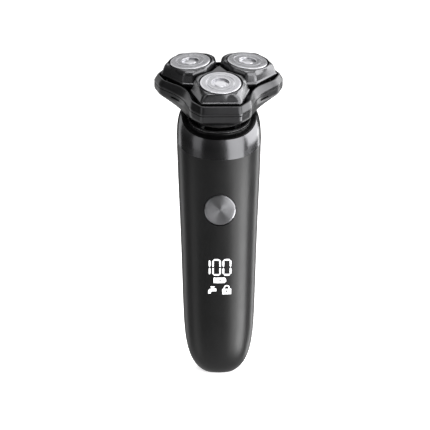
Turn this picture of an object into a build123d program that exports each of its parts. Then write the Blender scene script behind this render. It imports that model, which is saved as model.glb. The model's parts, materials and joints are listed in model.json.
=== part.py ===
from build123d import *
import math
import os

# Cordless rotary shaver with three cutters. Millimetres, +Z up, +X to the right seen
# from the front, front towards -Y. Origin: centre of the small flat foot it stands on.

# ---- handle ----------------------------------------------------------------
# Profile of the handle from the foot to the collar: half width, half depth, height.
PROFILE = [
    (8.0, 7.2, 0.0),
    (10.9, 9.7, 2.2),
    (13.3, 11.8, 5.0),
    (15.6, 13.8, 10.0),
    (17.0, 15.0, 15.5),
    (18.5, 16.5, 31.0),
    (19.4, 17.6, 58.0),
    (20.35, 18.6, 85.0),
    (21.2, 19.9, 106.0),
    (21.75, 22.0, 125.3),
]
SECTIONS = 19               # sections along the profile
LEAN_START = 72.0           # above this height the sections lean to the front ...
LEAN_TOP = 26.0             # ... up to this angle at the collar (deg)
# Collar sections: height, half width, half depth, lean.
COLLAR_STATIONS = [
    (125.3, 21.75, 22.0, 26.0),
    (129.0, 21.55, 21.95, 26.7),
    (132.8, 20.9, 21.8, 27.6),
    (136.0, 19.3, 21.4, 28.6),
]
SQUARENESS = 2.3            # exponent of the rounded oval sections
WALL = 2.2                  # shell thickness
CAVITY_START = 0.045        # the cavity's floor, as a share of the profile's length
SHELL_GAP = 0.12            # visible joint between front and rear shells
PARTING_Y = -2.4            # the shells part here at the foot ...
PARTING_LEAN = 2.6          # ... on a plane that leans forward (deg)
COLLAR_WALL = 1.5
COLLAR_LIP = 0.7
NECK_FIT = 0.12             # the neck sits this far inside the collar
RAIL_OUTER = (16.7, 16.6)   # half width and half depth of the neck's raised rail
RAIL_WIDTH, RAIL_HEIGHT, RAIL_BACK = 0.8, 0.9, 0.6
SEAL_HEIGHT, SEAL_DEPTH = 1.0, 3.0
SEAL_INSETS = (1.8, 3.0)    # its outer and inner edge, inside the shell's wall

# ---- button and display ----------------------------------------------------
BUTTON_Z = 89.5
BUTTON_RADIUS = 8.0
BUTTON_BORE = 8.3
BUTTON_FACE_Y = -18.6
BUTTON_THICK = 1.8
STEM_RADIUS = 2.2
STEM_END_Y = -9.9
SEAT_Y = -14.7              # ledge that carries the button's gasket
SEAT_BACK_Y = -13.4
DIGIT_Z = 59.3
DIGIT_HEIGHT = 8.8
DIGIT_WIDTH = 4.5
DIGIT_PLACES = (("1", -7.2), ("0", -1.8), ("0", 3.55))
SEGMENT = 0.85
SEGMENT_GAP = 0.4
INLAY_DEPTH = 0.25
INLAY_GAP = 0.02            # the inlays stop this far under the shell's face
DISPLAY_RADIUS = 34.0       # curve of the shell's front across the display ...
DISPLAY_LEAN = 2.0          # ... which leans forward by this angle (deg) ...
DISPLAY_FACE = (-17.45, 54.0)   # ... through this Y at this height
BATTERY_ICON_Z = 52.4
SMALL_ICON_Z = 47.3

# ---- head frame: P is the flex centre, W runs along the head's axis ----------
PIVOT = (0.0, 1.07, 137.7)
HEAD_LEAN = 18.0
HEAD = Location(PIVOT, (HEAD_LEAN, 0, 0))
LOBE_ANGLES = (270.0, 30.0, 150.0)
RIM_LEVEL = -1.5            # the neck and collar stop here, under the head
NECK_FLOOR = -4.8
NECK_POCKET = 15.6
HOUSING_LOW = 0.8
HOUSING_KNEE = 9.5
SEAM_LOW = 13.05
SEAM_HIGH = 13.35
BEVEL_LOW = 14.5
FRAME_TOP = 17.8
HEAD_WALL = 1.7
BOOT_OPENING = 15.05
FLAT_ROUND, SHOULDER_ROUND, VALLEY_ROUND = 3.0, 9.0, 24.0     # corner radii
# Lobed outlines: flat distance and half width, shoulder point, valley radius.
OUTLINE_LOW = (18.2, 6.0, 15.6, 10.4, 18.6)
OUTLINE_WIDE = (32.8, 10.0, 26.6, 15.3, 22.3)
OUTLINE_TOP = (30.9, 9.9, 24.6, 14.9, 19.8)

# ---- drive -------------------------------------------------------------------
MODULE = 0.75
SUN_TEETH = 18
DRIVE_TEETH = 26
GEAR_CENTRES = MODULE * (SUN_TEETH + DRIVE_TEETH) / 2
GEAR_LOW = 8.6
GEAR_HIGH = 10.6
BACKLASH = 0.16
SHAFT_RADIUS = 1.0
SPINDLE_RADIUS = 1.6
RUNNING_FIT = 0.05
DECK_LOW, DECK_HIGH = 6.6, 8.0
COVER_LOW, COVER_HIGH = 11.0, 12.2
MOTOR_TOP, MOTOR_BOTTOM = -7.0, -26.5
MOTOR_RADIUS = 10.2
MOTOR_FLAT = 7.7
GIMBAL_RADIUS = 9.8
PIN_RADIUS = 1.0

# ---- cutters -----------------------------------------------------------------
CUTTER_PITCH = 17.0
CUTTER_LEVEL = 24.5
CUTTER_LEAN = 5.5
CUTTER = Location((CUTTER_PITCH, 0, CUTTER_LEVEL), (0, CUTTER_LEAN, 0))
CAP_RADIUS = 10.4
CAP_FLANGE = 11.7
POD_OPENING = 11.2
POD_POCKET = 11.9
POD_AXIS_U, POD_AXIS_W = 26.7, 19.4
HUB_TOP = 22.8

BATTERY_RADIUS = 7.1
BATTERY_LOW, BATTERY_HIGH = 28.0, 78.0
BATTERY_Y = 6.6
BOARD_Y = -5.2
BOARD_THICK = 1.2
PLATE_FRONT_Y, PLATE_BACK_Y = -2.6, -1.0
SOCKET_Z = 16.0


def oval(half_width, half_depth, inset=0.0, count=24):
    """Closed rounded-oval face in the XY plane."""
    a, b = half_width - inset, half_depth - inset
    points = []
    for step in range(count):
        t = 2 * math.pi * step / count
        c, s = math.cos(t), math.sin(t)
        x = a * math.copysign(abs(c) ** (2 / SQUARENESS), c)
        y = b * math.copysign(abs(s) ** (2 / SQUARENESS), s)
        points.append((x, y))
    return make_face(Spline(*points, periodic=True))


def station_face(station, inset=0.0):
    """Section of the handle at a station, leaning towards the front."""
    z, half_width, half_depth, lean = station
    return Location((0, 0, z), (lean, 0, 0)) * oval(half_width, half_depth, inset)


def slab(low, high, size=120.0):
    """Everything between two levels, as a wide flat box."""
    return Pos(0, 0, (low + high) / 2) * Box(size, size, high - low)


def rod(radius, low, high, x=0.0, y=0.0):
    """Upright cylinder between two levels."""
    return Pos(x, y, (low + high) / 2) * Cylinder(radius, high - low)


def tube(outer, inner, low, high, x=0.0, y=0.0):
    """Upright pipe between two levels."""
    return rod(outer, low, high, x, y) - rod(inner, low - 1, high + 1, x, y)


def rod_y(radius, y_low, y_high, x=0.0, z=0.0):
    """Cylinder along Y."""
    turned = Location((x, (y_low + y_high) / 2, z), (90, 0, 0))
    return turned * Cylinder(radius, y_high - y_low)


def block(x0, x1, y0, y1, z0, z1):
    """Box given by its corners."""
    middle = Pos((x0 + x1) / 2, (y0 + y1) / 2, (z0 + z1) / 2)
    return middle * Box(x1 - x0, y1 - y0, z1 - z0)


def thirds(shape):
    """The shape repeated on the three lobes, in the head frame."""
    copies = [Rot(0, 0, angle) * shape for angle in LOBE_ANGLES]
    return Compound(children=copies)


# ---- handle shells -------------------------------------------------------------
def handle_solid(inset=0.0):
    """Solid handle up to the collar; an inset gives the cavity."""
    profile = Spline(*PROFILE)
    start = CAVITY_START if inset else 0.0
    leaning_height = PROFILE[-1][2] - LEAN_START
    faces = []
    for step in range(SECTIONS):
        point = profile @ (start + (1 - start) * step / (SECTIONS - 1))
        rise = max(0.0, (point.Z - LEAN_START) / leaning_height)
        station = (point.Z, point.X, point.Y, LEAN_TOP * rise ** 1.5)
        faces.append(station_face(station, inset))
    return loft(faces)


def parting_block(side):
    """Half space in front of (side -1) or behind (side +1) the shells' joint."""
    depth = 80.0
    offset = side * (depth / 2 + SHELL_GAP / 2)
    frame = Location((0, PARTING_Y, 0), (PARTING_LEAN, 0, 0))
    return frame * Pos(0, offset, 60) * Box(120, depth, 260)


def button_boss():
    """Round seat behind the button, with a ledge for its gasket."""
    return rod_y(BUTTON_BORE + 1.7, -19.5, SEAT_BACK_Y, z=BUTTON_Z)


def button_bore():
    """Stepped hole that the button slides in."""
    wide = rod_y(BUTTON_BORE, -30, SEAT_Y, z=BUTTON_Z)
    narrow = rod_y(5.0, -30, SEAT_BACK_Y + 1, z=BUTTON_Z)
    return wide + narrow


def front_bosses():
    """Four posts that the chassis is screwed to."""
    posts = [rod_y(2.3, -16, PLATE_FRONT_Y, x, z) for x, z in SCREW_SPOTS]
    holes = [rod_y(0.9, -9, PLATE_FRONT_Y + 1, x, z) for x, z in SCREW_SPOTS]
    return posts, holes


SCREW_SPOTS = [(-11.0, 24.0), (11.0, 24.0), (-9.3, 101.0), (9.3, 101.0)]


def make_front_shell(outer, cavity):
    shell = (outer - cavity) & parting_block(-1)
    posts, holes = front_bosses()
    inside = outer & parting_block(-1)
    for post in posts:
        shell += post & inside
    shell += button_boss() & inside
    shell -= button_bore()
    for tool in holes + inlay_pockets():
        shell -= tool
    return shell


def make_rear_shell(outer, cavity):
    shell = (outer - cavity) & parting_block(1)
    return shell - socket_slot(9.4, 3.6, 5, 25)


def socket_slot(width, height, y_low, y_high):
    """Rounded slot along Y at the charging socket."""
    radius = height / 2
    reach = width / 2 - radius
    middle = block(-reach, reach, y_low, y_high, SOCKET_Z - radius, SOCKET_Z + radius)
    ends = [rod_y(radius, y_low, y_high, x, SOCKET_Z) for x in (-reach, reach)]
    return middle + ends[0] + ends[1]


# ---- display inlays --------------------------------------------------------------
SEGMENTS = {
    "top": (0, 1, True), "middle": (0, 0, True), "bottom": (0, -1, True),
    "upper_left": (-1, 0.5, False), "upper_right": (1, 0.5, False),
    "lower_left": (-1, -0.5, False), "lower_right": (1, -0.5, False),
}
DIGITS = {
    "1": ("upper_right", "lower_right"),
    "0": ("top", "bottom", "upper_left", "upper_right", "lower_left", "lower_right"),
}


def segment_bar(length, horizontal):
    """One pointed bar of a digit, drawn flat in X and Z."""
    half, tip = length / 2, SEGMENT / 2
    outline = [(-half, 0), (-half + tip, tip), (half - tip, tip),
               (half, 0), (half - tip, -tip), (-half + tip, -tip)]
    if not horizontal:
        outline = [(-v, u) for u, v in outline]
    return outline


def prism(outline, x, z, y_low=-25.0, y_high=-10.0):
    """Prism along Y from an outline in X and Z."""
    face = make_face(Polyline(*[(x + u, 0, z + v) for u, v in outline], close=True))
    solid = extrude(face, amount=y_high - y_low, dir=(0, 1, 0))
    return Pos(0, y_low, 0) * solid


def digit_prisms(character, x):
    reach_x = (DIGIT_WIDTH - SEGMENT) / 2
    reach_z = (DIGIT_HEIGHT - SEGMENT) / 2
    prisms = []
    for name in DIGITS[character]:
        side, level, horizontal = SEGMENTS[name]
        length = (2 * reach_x if horizontal else reach_z) - SEGMENT_GAP
        outline = segment_bar(length, horizontal)
        prisms.append(prism(outline, x + side * reach_x, DIGIT_Z + level * reach_z))
    return prisms


def battery_icon():
    body = prism([(-3.3, -1.45), (2.3, -1.45), (3.1, -0.6), (3.1, 0.6),
                  (2.3, 1.45), (-3.3, 1.45)], 0, BATTERY_ICON_Z)
    bolt = prism([(0.2, 0.9), (-0.9, -0.1), (-0.05, -0.15),
                  (-0.2, -0.9), (0.9, 0.1), (0.05, 0.15)], 0, BATTERY_ICON_Z)
    return body - bolt


def tap_icon(x=-4.0):
    z = SMALL_ICON_Z
    outline = [(-2.1, -2.0), (-2.1, -0.6), (-1.4, 0.45), (-0.2, 0.75), (-0.2, 1.3),
               (-0.9, 1.3), (-0.9, 1.9), (1.2, 1.9), (1.2, 1.3), (0.5, 1.3),
               (0.5, 0.75), (2.1, 0.75), (2.1, -0.75), (0.2, -0.75), (-0.6, -1.0),
               (-0.8, -2.0)]
    return prism(outline, x, z)


def padlock_icon(x=3.45):
    z = SMALL_ICON_Z
    body = block(x - 2.3, x + 2.3, -25, -10, z - 2.4, z + 0.5)
    shackle = rod_y(1.6, -25, -10, x, z + 0.9) - rod_y(1.0, -26, -9, x, z + 0.9)
    shackle &= block(x - 3, x + 3, -25, -10, z + 0.5, z + 4)
    keyhole = rod_y(0.45, -26, -9, x, z - 0.7)
    keyhole += block(x - 0.2, x + 0.2, -26, -9, z - 1.6, z - 0.7)
    return body - keyhole + shackle


def display_core(depth):
    """Column that fills the handle up to this depth under the display's face."""
    y, z = DISPLAY_FACE
    frame = Location((0, y, z), (DISPLAY_LEAN, 0, 0))
    return frame * Pos(0, DISPLAY_RADIUS, 0) * Cylinder(DISPLAY_RADIUS - depth, 50)


def inlay_pockets():
    """Recesses of the digits and icons, with a floor that follows the shell's curve."""
    prisms = []
    for character, x in DIGIT_PLACES:
        prisms += digit_prisms(character, x)
    prisms += [battery_icon(), tap_icon(), padlock_icon()]
    core = display_core(INLAY_DEPTH + INLAY_GAP)
    return [prism_shape - core for prism_shape in prisms]


def make_inlays():
    """Thin light windows, flush with the curved front."""
    core = display_core(INLAY_GAP)
    solids = [solid for pocket in inlay_pockets() for solid in (pocket & core).solids()]
    return Compound(children=solids)


# ---- collar and neck ---------------------------------------------------------------
def collar_cap():
    """Everything above the level where the neck and collar stop, under the head."""
    return HEAD * slab(RIM_LEVEL, RIM_LEVEL + 60)


def collar_room(clearance=0.0):
    """Space inside the collar, whose wall thins towards its upper lip."""
    last = len(COLLAR_STATIONS) - 1
    faces = []
    for number, station in enumerate(COLLAR_STATIONS):
        wall = COLLAR_WALL + (COLLAR_LIP - COLLAR_WALL) * number / last
        faces.append(station_face(station, wall + clearance))
    return loft(faces)


def make_collar():
    outer = loft([station_face(station) for station in COLLAR_STATIONS])
    return outer - collar_room() - collar_cap()


def neck_plane():
    z, _, _, lean = COLLAR_STATIONS[-1]
    return Location((0, 0, z), (lean, 0, 0))


def make_neck_base():
    """Black flange inside the collar, with the motor seat and two gimbal posts."""
    depth = 9.0
    top = neck_plane()
    neck = collar_room(NECK_FIT) & (top * slab(-depth, 5.0))
    rail = oval(*RAIL_OUTER) - oval(*RAIL_OUTER, RAIL_WIDTH)
    neck += top * Pos(0, RAIL_BACK, 0) * extrude(rail, amount=RAIL_HEIGHT)
    neck -= collar_cap()
    neck -= HEAD * rod(NECK_POCKET, NECK_FLOOR, 30)
    seat = motor_section(MOTOR_RADIUS + 0.15, MOTOR_FLAT + 0.15)
    sleeve = motor_section(MOTOR_RADIUS + 1.8, MOTOR_FLAT + 1.8)
    hollow = top * Pos(0, 0, -depth - 12) * extrude(oval(17.0, 18.9), amount=depth + 12)
    hollow -= HEAD * slab(MOTOR_TOP + 0.1, MOTOR_TOP + 60)
    hollow -= HEAD * Pos(0, 0, -40) * extrude(sleeve, amount=60)
    neck -= hollow
    neck -= HEAD * Pos(0, 0, -40) * extrude(seat, amount=40 + MOTOR_TOP + 0.1)
    neck -= HEAD * rod(4.1, -20, 0)
    for side in (-1, 1):
        post = block(side * 12.5 - 0.9, side * 12.5 + 0.9, -2.2, 2.2, NECK_FLOOR, 1.9)
        post -= Location((side * 12.5, 0, 0), (0, 90, 0)) * Cylinder(
            PIN_RADIUS + RUNNING_FIT, 8)
        neck += HEAD * post
    for x, y in NECK_SCREWS:
        neck -= HEAD * rod(1.05, -30, 0, x, y)
    for x in MOTOR_SCREWS:
        neck -= HEAD * rod(1.05, -12, 0, x, 0)
    return neck


COVER_SCREWS = [(26.5, -10.4), (26.5, 10.4)]    # on each lobe
NECK_SCREWS = [(sx * 9.2, sy * 8.8) for sx in (-1, 1) for sy in (-1, 1)]
MOTOR_SCREWS = (-6.5, 6.5)


def screw(radius, head_radius, head_low, head_high, tip, x=0.0, y=0.0):
    """Cross-head screw pointing down its local axis."""
    body = rod(head_radius, head_low, head_high, x, y) + rod(radius, tip, head_low, x, y)
    cross = block(x - head_radius * 0.6, x + head_radius * 0.6, y - 0.2, y + 0.2,
                  head_high - 0.5, head_high + 1)
    cross += block(x - 0.2, x + 0.2, y - head_radius * 0.6, y + head_radius * 0.6,
                   head_high - 0.5, head_high + 1)
    return body - cross


def make_neck_screws():
    return Compound(children=[
        HEAD * screw(1.0, 1.9, NECK_FLOOR, NECK_FLOOR + 1.2, -13.0, x, y)
        for x, y in NECK_SCREWS])


def make_motor_screws():
    return Compound(children=[
        HEAD * screw(1.0, 1.8, NECK_FLOOR, NECK_FLOOR + 1.1, MOTOR_TOP - 0.8, x, 0)
        for x in MOTOR_SCREWS])


def make_neck_seal(clearance=0.0):
    """Rubber ring inside the handle's mouth, under the motor carrier."""
    z, half_width, half_depth, lean = COLLAR_STATIONS[0]
    near, far = SEAL_INSETS
    ring = oval(half_width, half_depth, WALL + near - clearance)
    ring -= oval(half_width, half_depth, WALL + far + clearance)
    ring = extrude(ring, amount=SEAL_HEIGHT + 2 * clearance)
    return Location((0, 0, z), (lean, 0, 0)) * Pos(0, 0, -SEAL_DEPTH - clearance) * ring


# ---- inside the handle ---------------------------------------------------------------
def make_chassis(cavity_clear):
    """Moulded frame: board plate, battery cradle, arms and the motor carrier."""
    plate = block(-14.0, 14.0, PLATE_FRONT_Y, PLATE_BACK_Y, 12, 104)
    cradle = None
    for z in (30.0, 53.0, 74.0):
        rib = block(-9.0, 9.0, PLATE_BACK_Y - 0.1, 8.0, z, z + 2.0)
        cradle = rib if cradle is None else cradle + rib
    cradle -= rod(BATTERY_RADIUS + 0.1, 20, 90, 0, BATTERY_Y)
    cradle += block(-9.0, 9.0, PLATE_BACK_Y - 0.1, 13.0, 24.2, 26.2)
    arms = None
    for side in (-1, 1):
        arm = block(side * 13.0 - 1.0, side * 13.0 + 1.0, PLATE_FRONT_Y, 8.0, 90, 134)
        arms = arm if arms is None else arms + arm
    arms -= HEAD * slab(CARRIER_LOW, 60)
    carrier = extrude(oval(15.6, 13.6), amount=CARRIER_HIGH - CARRIER_LOW)
    carrier = HEAD * Pos(0, 0, CARRIER_LOW) * carrier
    bosses = [HEAD * rod(2.1, -16.0, CARRIER_LOW + 0.1, x, y) for x, y in NECK_SCREWS]
    chassis = plate + cradle + arms + carrier
    for boss in bosses:
        chassis += boss
    chassis = chassis & cavity_clear
    opening = motor_section(MOTOR_RADIUS + 2.0, MOTOR_FLAT + 2.0)
    chassis -= HEAD * Pos(0, 0, -40) * extrude(opening, amount=60)
    for x, y in NECK_SCREWS:
        chassis -= HEAD * rod(1.05, -15, 0, x, y)
    for x, z in SCREW_SPOTS:
        chassis -= rod_y(1.1, -6, 2, x, z)
    return chassis - make_neck_seal(NECK_FIT)


CARRIER_LOW, CARRIER_HIGH = -10.6, -9.0


def make_chassis_screws():
    screws = []
    for x, z in SCREW_SPOTS:
        placed = Location((x, PLATE_BACK_Y, z), (-90, 0, 0))
        screws.append(placed * screw(0.85, 1.8, 0, 1.2, -6.5))
    return Compound(children=screws)


def make_battery():
    cell = rod(BATTERY_RADIUS, BATTERY_LOW, BATTERY_HIGH, 0, BATTERY_Y)
    button_end = rod(2.6, BATTERY_HIGH, BATTERY_HIGH + 1.0, 0, BATTERY_Y)
    return cell + button_end


def make_battery_tabs():
    """Nickel strips from the cell's ends to the board."""
    y_front = PLATE_BACK_Y + 0.2
    high = block(-2, 2, y_front, BATTERY_Y, BATTERY_HIGH + 1.0, BATTERY_HIGH + 1.25)
    low = block(-2, 2, y_front, BATTERY_Y, BATTERY_LOW - 0.25, BATTERY_LOW)
    return Compound(children=[high, low])


def make_board():
    """Circuit board with its larger components."""
    board = block(-12.5, 12.5, BOARD_Y, BOARD_Y + BOARD_THICK, 18, 98)
    for x, z in SCREW_SPOTS:
        board -= rod_y(3.0, -10, 2, x, z)
    chips = [(-5.5, 30, 5, 5), (5.5, 32, 4, 6), (-6, 74, 4, 4), (6.5, 76, 3, 5)]
    for x, z, width, height in chips:
        board += block(x - width / 2, x + width / 2, BOARD_Y - 1.2, BOARD_Y + 0.1,
                       z - height / 2, z + height / 2)
    return board


def make_display_module():
    """Light block behind the windows in the front shell."""
    module = block(-8.0, 8.0, -13.0, BOARD_Y, 43, 65)
    for z in (47.0, 51.5, 58.5):
        module -= block(-6.8, 6.8, -14.0, -10.0, z - 1.2, z + 1.2)
    return module


def make_switch():
    base = block(-3, 3, -8.2, BOARD_Y, BUTTON_Z - 3, BUTTON_Z + 3)
    return base + rod_y(1.7, -8.8, -8.1, 0, BUTTON_Z)


def make_button():
    """Round metal key with a turned dish, a chamfered rim and a stem."""
    disc = rod_y(BUTTON_RADIUS, BUTTON_FACE_Y, BUTTON_FACE_Y + BUTTON_THICK, z=BUTTON_Z)
    disc = chamfer(disc.edges().sort_by(Axis.Y)[0], 0.35)
    stem_start = BUTTON_FACE_Y + BUTTON_THICK - 0.2
    return disc + rod_y(STEM_RADIUS, stem_start, STEM_END_Y, z=BUTTON_Z)


def make_button_gasket():
    ring = rod_y(BUTTON_BORE - 0.1, SEAT_Y - 0.8, SEAT_Y, z=BUTTON_Z)
    return ring - rod_y(STEM_RADIUS + RUNNING_FIT, -20, -10, z=BUTTON_Z)


def make_charge_socket():
    """Small oval metal socket with a contact tongue, facing back."""
    shell = socket_slot(8.9, 3.1, 7.0, 14.4) - socket_slot(8.3, 2.5, 8.0, 16.0)
    tongue = block(-3.3, 3.3, 7.5, 13.2, SOCKET_Z - 0.35, SOCKET_Z + 0.35)
    return shell + tongue


def make_socket_gasket():
    ring = socket_slot(11.6, 5.8, 11.2, 12.1)
    return ring - socket_slot(8.9, 3.1, 10, 16)


# ---- motor -----------------------------------------------------------------------------
def motor_section(radius, flat):
    """Round section with two flats, front and back."""
    return Circle(radius) & Rectangle(4 * radius, 2 * flat)


def make_motor_can():
    can = Pos(0, 0, MOTOR_BOTTOM) * extrude(
        motor_section(MOTOR_RADIUS, MOTOR_FLAT), amount=MOTOR_TOP - MOTOR_BOTTOM)
    room = Pos(0, 0, MOTOR_BOTTOM - 1) * extrude(
        motor_section(MOTOR_RADIUS - 0.8, MOTOR_FLAT - 0.8),
        amount=MOTOR_TOP - MOTOR_BOTTOM + 0.2)
    can -= room
    can += rod(3.0, MOTOR_TOP - 0.2, MOTOR_TOP + 1.2)
    can -= rod(SHAFT_RADIUS + RUNNING_FIT, -40, 0)
    for x in MOTOR_SCREWS:
        can -= rod(1.0, -12, 0, x, 0)
    return HEAD * can


def make_motor_magnets():
    """Two curved magnets inside the can."""
    ring = tube(MOTOR_RADIUS - 0.85, 7.3, -22.5, -9.6)
    left = ring & block(-12, -5.4, -MOTOR_FLAT + 0.9, MOTOR_FLAT - 0.9, -30, 0)
    right = ring & block(5.4, 12, -MOTOR_FLAT + 0.9, MOTOR_FLAT - 0.9, -30, 0)
    return HEAD * Compound(children=[left, right])


def make_motor_cap():
    """Plastic end cap with two terminals."""
    section = motor_section(MOTOR_RADIUS - 0.85, MOTOR_FLAT - 0.85)
    cap = Pos(0, 0, MOTOR_BOTTOM) * extrude(section, amount=1.8)
    cap += rod(3.0, MOTOR_BOTTOM - 1.2, MOTOR_BOTTOM + 0.1)
    cap -= rod(SHAFT_RADIUS + RUNNING_FIT, -40, 0)
    for x in (-6.0, 6.0):
        cap += block(x - 1, x + 1, -0.2, 0.2, MOTOR_BOTTOM - 2.6, MOTOR_BOTTOM + 0.1)
    return HEAD * cap


def make_rotor():
    """Shaft with its three-pole armature and commutator."""
    rotor = rod(SHAFT_RADIUS, -27.3, -0.8)
    rotor += rod(2.4, -24.0, -21.4)
    core = rod(6.6, -20.4, -11.6)
    for angle in (0, 120, 240):
        core -= Rot(0, 0, angle) * block(3.2, 9.0, -1.0, 1.0, -30, 0)
    return HEAD * (rotor + core)


def make_drive_ball():
    """Six-sided ball end that drives the head and lets it flex."""
    bar = Pos(0, 0, -1.6) * extrude(RegularPolygon(2.1, 6, major_radius=False), 3.2)
    ball = bar & Sphere(2.5)
    ball -= rod(SHAFT_RADIUS, -3, -0.8)
    return HEAD * ball


def make_shaft_seal():
    seal = tube(4.05, SHAFT_RADIUS + RUNNING_FIT, -5.7, -4.9)
    return HEAD * (seal + tube(2.0, SHAFT_RADIUS + RUNNING_FIT, -5.0, -4.0))


# ---- gimbal and head base ---------------------------------------------------------------
def pins(axis_turn, inner, outer):
    """A pair of pins on opposite sides of the gimbal ring."""
    both = []
    for side in (0, 180):
        pin = Location(((inner + outer) / 2, 0, 0), (0, 90, 0))
        pin = pin * Cylinder(PIN_RADIUS, outer - inner)
        both.append(Rot(0, 0, axis_turn + side) * pin)
    return both


def make_gimbal():
    ring = tube(GIMBAL_RADIUS + 1.2, GIMBAL_RADIUS - 1.2, -1.5, 1.5)
    for pin in pins(0, GIMBAL_RADIUS, 13.3) + pins(90, GIMBAL_RADIUS, 13.3):
        ring += pin
    return HEAD * ring


def lobed_face(outline, level, inset=0.0):
    """Three-lobed outline with rounded corners; the inset is radial."""
    flat_u, flat_v, shoulder_u, shoulder_v, valley = outline
    valley_u, valley_v = valley * math.cos(math.pi / 3), valley * math.sin(math.pi / 3)
    lobe = [(shoulder_u, -shoulder_v), (flat_u, -flat_v), (flat_u, flat_v),
            (shoulder_u, shoulder_v), (valley_u, valley_v)]
    rounding = (SHOULDER_ROUND, FLAT_ROUND, FLAT_ROUND, SHOULDER_ROUND, VALLEY_ROUND)
    corners = []
    for angle in sorted(LOBE_ANGLES):
        for (u, v), round_radius in zip(lobe, rounding):
            reach = math.hypot(u, v) - inset
            turn = math.atan2(v, u) + math.radians(angle)
            corner = Vector(reach * math.cos(turn), reach * math.sin(turn), 0)
            corners.append((corner, round_radius))
    face = make_face(Polyline(*[corner for corner, _ in corners], close=True))
    for radius in sorted(set(rounding)):
        spots = [corner for corner, round_radius in corners if round_radius == radius]
        chosen = [vertex for vertex in face.vertices()
                  if min((vertex.center() - spot).length for spot in spots) < 0.01]
        face = fillet(chosen, radius)
    return Pos(0, 0, level) * face


def housing_solid():
    lower = loft([lobed_face(OUTLINE_LOW, HOUSING_LOW),
                  lobed_face(OUTLINE_WIDE, HOUSING_KNEE)], ruled=True)
    upper = extrude(lobed_face(OUTLINE_WIDE, HOUSING_KNEE), SEAM_LOW - HOUSING_KNEE)
    return lower + upper


def housing_cavity(inset=HEAD_WALL):
    knee = HOUSING_KNEE + 1.1
    lower = loft([lobed_face(OUTLINE_LOW, HOUSING_LOW + 1.5, inset),
                  lobed_face(OUTLINE_WIDE, knee, inset)], ruled=True)
    upper = extrude(lobed_face(OUTLINE_WIDE, knee, inset), 8)
    return lower + upper


def make_head_housing():
    """Lower head shell, open at the top and round the neck."""
    shell = housing_solid() - housing_cavity() - rod(BOOT_OPENING, -5, 5)
    valley_face = 22.5
    for lobe, side in ((30.0, -1), (150.0, 1)):
        valley_angle = lobe + side * 60.0
        slit = Location((valley_face, -side * 4.6, 11.0), (0, 0, side * 12.0))
        shell -= Rot(0, 0, valley_angle) * slit * Box(6, 6.4, 0.9)
    return HEAD * shell


def make_gear_deck():
    """Gearbox floor with bearings and two lugs that reach down to the gimbal."""
    room = housing_cavity(HEAD_WALL + 0.1)
    deck = room & slab(DECK_LOW, DECK_HIGH)
    deck -= rod(3.6 + RUNNING_FIT, 0, 20)
    deck -= thirds(rod(SPINDLE_RADIUS + RUNNING_FIT, DECK_LOW + 0.4, 20, GEAR_CENTRES))
    for side in (-1, 1):
        y = side * 12.5
        lug = block(-2.2, 2.2, y - 0.9, y + 0.9, -1.9, DECK_LOW + 0.1)
        lug -= rod_y(PIN_RADIUS + RUNNING_FIT, y - 4, y + 4)
        deck += lug
    for u, v in COVER_SCREWS:
        deck += thirds(rod(1.7, DECK_HIGH - 0.1, COVER_LOW, u, v)) & room
        deck -= thirds(rod(0.95, DECK_HIGH + 0.5, COVER_LOW + 1, u, v))
    return HEAD * deck


def make_gear_cover():
    """Lid over the gears with spindle bearings and magnet seats."""
    cover = housing_cavity(HEAD_WALL + 0.1) & slab(COVER_LOW, COVER_HIGH)
    cover += thirds(rod(2.8, COVER_HIGH - 0.1, 12.9, GEAR_CENTRES))
    cover += valleys(rod(2.7, COVER_HIGH - 0.1, 12.8, 15.0))
    cover -= valleys(rod(2.05, 11.5, 15, 15.0))
    cover -= thirds(rod(SPINDLE_RADIUS + RUNNING_FIT, 5, 20, GEAR_CENTRES))
    cover -= rod(1.5 + RUNNING_FIT, 5, COVER_HIGH - 0.3)
    for u, v in COVER_SCREWS:
        cover -= thirds(rod(0.95, 5, 20, u, v))
    return HEAD * cover


def valleys(shape):
    """The shape repeated between the lobes, in the head frame."""
    return Compound(children=[Rot(0, 0, angle + 60) * shape for angle in LOBE_ANGLES])


def make_magnets():
    return HEAD * valleys(rod(2.0, 11.5, 12.8, 15.0))


def make_latch_plates():
    return HEAD * valleys(rod(2.0, 13.5, 14.0, 15.0))


def make_neck_boot():
    """Soft sleeve that closes the gap under the head."""
    boot = tube(BOOT_OPENING - 0.05, 14.2, 0.7, 3.4)
    boot += tube(14.6, 13.9, -2.3, 0.8)
    return HEAD * boot


def make_cover_screws():
    screws = [screw(0.9, 1.5, COVER_HIGH, COVER_HIGH + 0.7, HOUSING_KNEE + 0.3, u, v)
              for u, v in COVER_SCREWS]
    return HEAD * thirds(Compound(children=screws))


# ---- gears -------------------------------------------------------------------------------
def gear_face(teeth):
    """Involute spur gear outline with backlash, a tooth centred on +X."""
    pitch = MODULE * teeth / 2
    base = pitch * math.cos(math.radians(20))
    root, tip = pitch - 1.25 * MODULE, pitch + MODULE

    def half_angle(radius):
        reach = max(radius, base)
        pressure = math.acos(base / reach)
        involute = math.tan(pressure) - pressure
        start = math.tan(math.radians(20)) - math.radians(20)
        return math.pi / (2 * teeth) - BACKLASH / (2 * pitch) + start - involute

    radii = [root] + [max(root, base) + (tip - max(root, base)) * i / 3 for i in range(4)]
    points = []
    for tooth in range(teeth):
        centre = 2 * math.pi * tooth / teeth
        flank = [(radius, centre - half_angle(radius)) for radius in radii]
        back = [(radius, centre + half_angle(radius)) for radius in reversed(radii)]
        points += [(r * math.cos(a), r * math.sin(a)) for r, a in flank + back]
    return make_face(Polyline(*points, close=True))


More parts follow.
